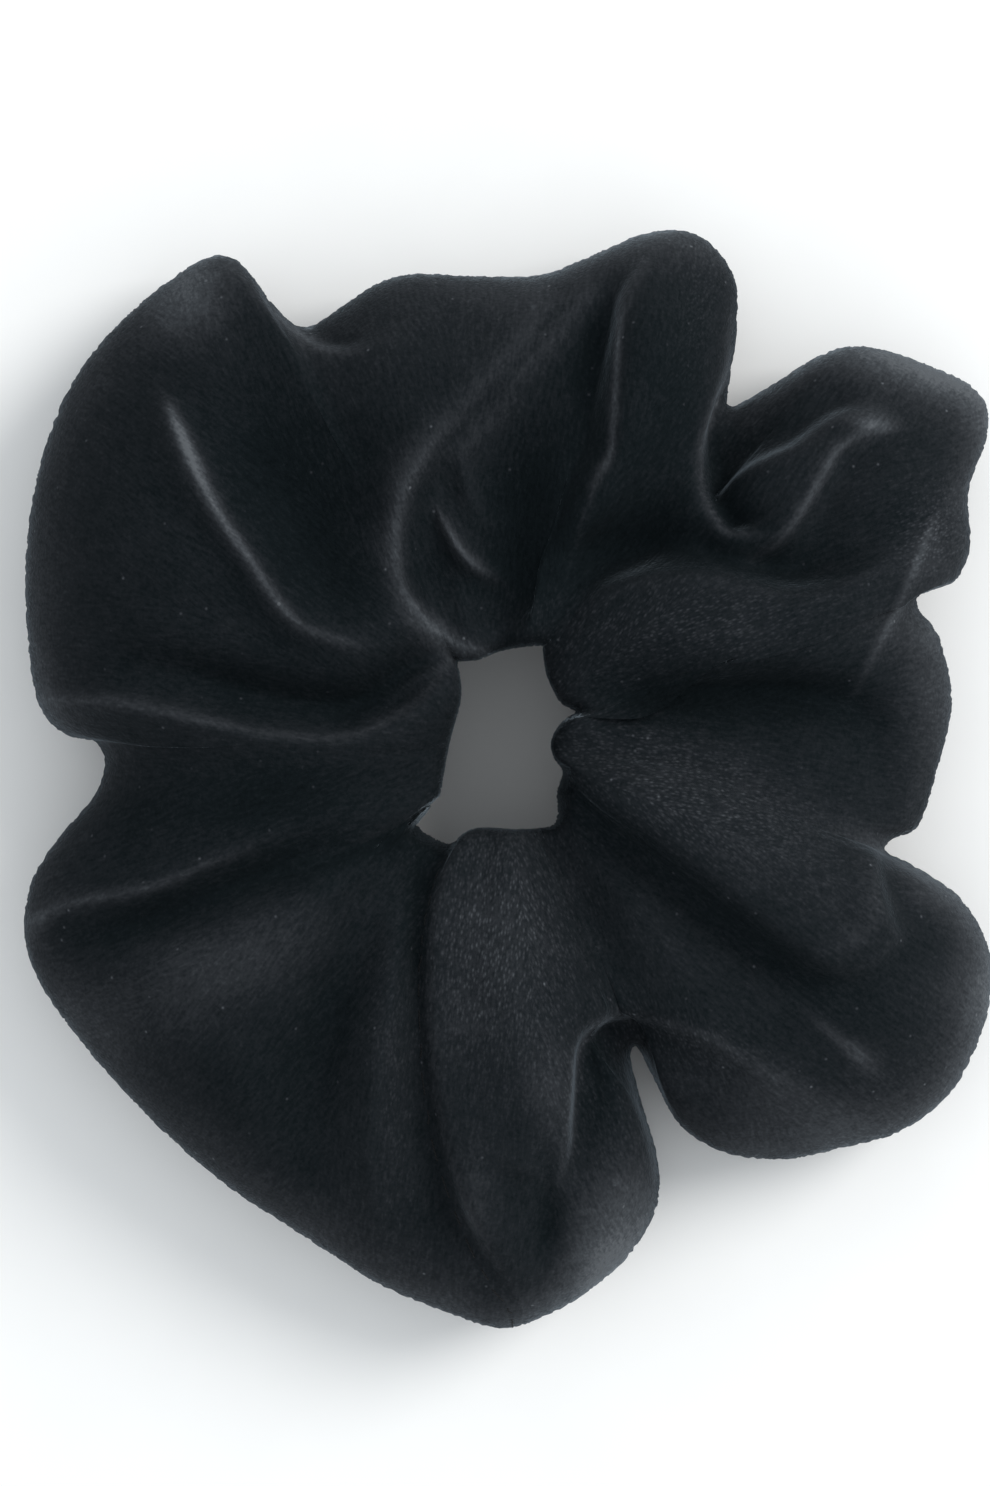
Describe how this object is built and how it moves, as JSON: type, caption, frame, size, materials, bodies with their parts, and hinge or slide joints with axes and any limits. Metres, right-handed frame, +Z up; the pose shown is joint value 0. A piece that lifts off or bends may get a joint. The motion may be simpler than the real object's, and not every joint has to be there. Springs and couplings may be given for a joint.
{
  "type": "hair scrunchie",
  "caption": "Velvet hair scrunchie: a gathered fabric tube sewn closed over a loop of flat braided elastic that stretches open round a ponytail.",
  "frame": {"origin": "on the axis of the ring, at the middle of the hole for the hair, on the plane that the scrunchie lies on", "axes": "+Z up along the ring's axis, away from the surface it lies on; +Y along the longer outer dimension, away from the closing seam; +X to the right"},
  "size_m": [0.1079, 0.1222, 0.0316],
  "materials": {
    "velvet": "short pile, black with a faint blue sheen",
    "sewing_thread": "black spun polyester",
    "elastic_braid": "black braided polyester",
    "rubber_cord": "natural latex"
  },
  "bodies": {
    "gather_01": {"sleeve_gather_01": "velvet", "closing_seam_thread": "sewing_thread", "long_seam_thread": "sewing_thread", "elastic_cover": "elastic_braid", "rubber_cords": "rubber_cord", "elastic_tack_thread": "sewing_thread"},
    "gather_02": {"sleeve_gather_02": "velvet"},
    "gather_03": {"sleeve_gather_03": "velvet"},
    "gather_04": {"sleeve_gather_04": "velvet"},
    "gather_05": {"sleeve_gather_05": "velvet"},
    "gather_06": {"sleeve_gather_06": "velvet"},
    "gather_07": {"sleeve_gather_07": "velvet"},
    "gather_08": {"sleeve_gather_08": "velvet"},
    "gather_09": {"sleeve_gather_09": "velvet"},
    "gather_10": {"sleeve_gather_10": "velvet"},
    "gather_11": {"sleeve_gather_11": "velvet"},
    "gather_12": {"sleeve_gather_12": "velvet"},
    "closing_seam": {"sleeve_tucked_end": "velvet"}
  },
  "joints": [
    {"name": "stretch_02", "type": "slide", "parent": "gather_01", "child": "gather_02", "axis": [0.9272, 0.3746, 0], "range_m": [0, 0.0155], "stiffness_N_per_m": 150, "deforming": ["elastic_cover", "rubber_cords", "long_seam_thread"]},
    {"name": "stretch_03", "type": "slide", "parent": "gather_02", "child": "gather_03", "axis": [0.6157, 0.788, 0], "range_m": [0, 0.0155], "stiffness_N_per_m": 150},
    {"name": "stretch_04", "type": "slide", "parent": "gather_03", "child": "gather_04", "axis": [0.1392, 0.9903, 0], "range_m": [0, 0.0155], "stiffness_N_per_m": 150},
    {"name": "stretch_05", "type": "slide", "parent": "gather_04", "child": "gather_05", "axis": [-0.3746, 0.9272, 0], "range_m": [0, 0.0155], "stiffness_N_per_m": 150},
    {"name": "stretch_06", "type": "slide", "parent": "gather_05", "child": "gather_06", "axis": [-0.788, 0.6157, 0], "range_m": [0, 0.0155], "stiffness_N_per_m": 150},
    {"name": "stretch_07", "type": "slide", "parent": "gather_06", "child": "gather_07", "axis": [-0.9903, 0.1392, 0], "range_m": [0, 0.0155], "stiffness_N_per_m": 150},
    {"name": "stretch_08", "type": "slide", "parent": "gather_07", "child": "gather_08", "axis": [-0.9272, -0.3746, 0], "range_m": [0, 0.0155], "stiffness_N_per_m": 150},
    {"name": "stretch_09", "type": "slide", "parent": "gather_08", "child": "gather_09", "axis": [-0.6157, -0.788, 0], "range_m": [0, 0.0155], "stiffness_N_per_m": 150},
    {"name": "stretch_10", "type": "slide", "parent": "gather_09", "child": "gather_10", "axis": [-0.1392, -0.9903, 0], "range_m": [0, 0.0155], "stiffness_N_per_m": 150},
    {"name": "stretch_11", "type": "slide", "parent": "gather_10", "child": "gather_11", "axis": [0.3746, -0.9272, 0], "range_m": [0, 0.0155], "stiffness_N_per_m": 150},
    {"name": "stretch_12", "type": "slide", "parent": "gather_11", "child": "gather_12", "axis": [0.788, -0.6157, 0], "range_m": [0, 0.0155], "stiffness_N_per_m": 150},
    {"name": "stretch_closing", "type": "slide", "parent": "gather_12", "child": "closing_seam", "axis": [0.9903, -0.1392, 0], "range_m": [0, 0.0155], "stiffness_N_per_m": 150}
  ],
  "couplings": [
    {"joint": "stretch_03", "follows": "stretch_02", "ratio": 1},
    {"joint": "stretch_04", "follows": "stretch_02", "ratio": 1},
    {"joint": "stretch_05", "follows": "stretch_02", "ratio": 1},
    {"joint": "stretch_06", "follows": "stretch_02", "ratio": 1},
    {"joint": "stretch_07", "follows": "stretch_02", "ratio": 1},
    {"joint": "stretch_08", "follows": "stretch_02", "ratio": 1},
    {"joint": "stretch_09", "follows": "stretch_02", "ratio": 1},
    {"joint": "stretch_10", "follows": "stretch_02", "ratio": 1},
    {"joint": "stretch_11", "follows": "stretch_02", "ratio": 1},
    {"joint": "stretch_12", "follows": "stretch_02", "ratio": 1},
    {"joint": "stretch_closing", "follows": "stretch_02", "ratio": 1}
  ]
}
